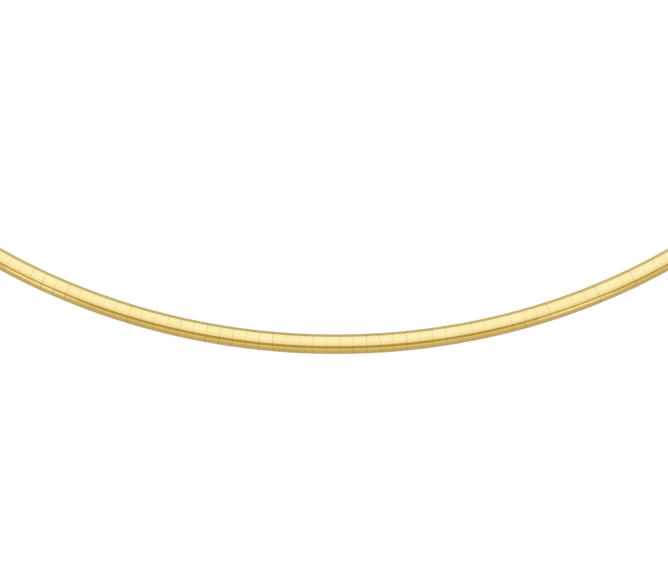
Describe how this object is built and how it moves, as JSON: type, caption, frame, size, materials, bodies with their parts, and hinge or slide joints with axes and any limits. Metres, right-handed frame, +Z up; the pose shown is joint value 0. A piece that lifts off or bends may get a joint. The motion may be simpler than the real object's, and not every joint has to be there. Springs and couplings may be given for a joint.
{
  "type": "omega necklace",
  "caption": "Stiff round collar necklace: a smooth band of narrow domed gold plates crimped on a flat wire mesh, closed by two end caps and a box clasp.",
  "frame": {"origin": "middle of the loop, on the plane that the flat underside of the necklace rests on", "axes": "+Z up through the neck opening, out of the domed side of the plates; -Y to the front of the necklace; +Y to the clasp; +X to the right seen from the front"},
  "size_m": [0.1312, 0.1314, 0.0018],
  "materials": {
    "plates": "polished yellow gold",
    "mesh": "drawn and woven yellow gold wire",
    "fittings": "polished yellow gold"
  },
  "bodies": {
    "root": {"plates_left": "plates", "plates_right": "plates", "mesh_core": "mesh", "end_cap_left": "fittings", "end_cap_right": "fittings", "clasp": "fittings"}
  },
  "joints": []
}
